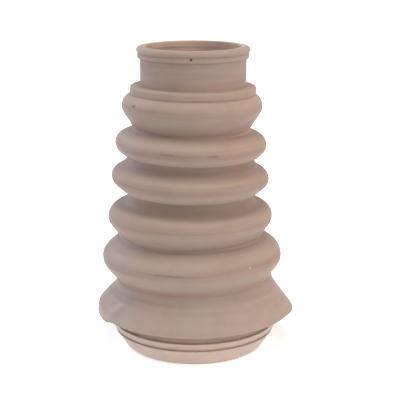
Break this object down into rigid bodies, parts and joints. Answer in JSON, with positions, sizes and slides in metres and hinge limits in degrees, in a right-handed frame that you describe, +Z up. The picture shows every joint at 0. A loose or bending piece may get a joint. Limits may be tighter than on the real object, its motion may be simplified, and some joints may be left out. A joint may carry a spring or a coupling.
{
  "type": "toilet pan connector",
  "caption": "Moulded rubber bellows with a beaded pipe neck, a flared skirt and a ribbed tapered plug, joining a flush pipe to a toilet pan's inlet.",
  "frame": {"origin": "middle of the plug's lower rim, on the axis", "axes": "+Z up the axis, from the plug to the neck's mouth; X and Y square to it, with no marked direction"},
  "size_m": [0.0814, 0.0814, 0.1231],
  "materials": {
    "moulded_rubber": "matte, as moulded"
  },
  "bodies": {
    "root": {"pan_connector": "moulded_rubber"}
  },
  "joints": []
}
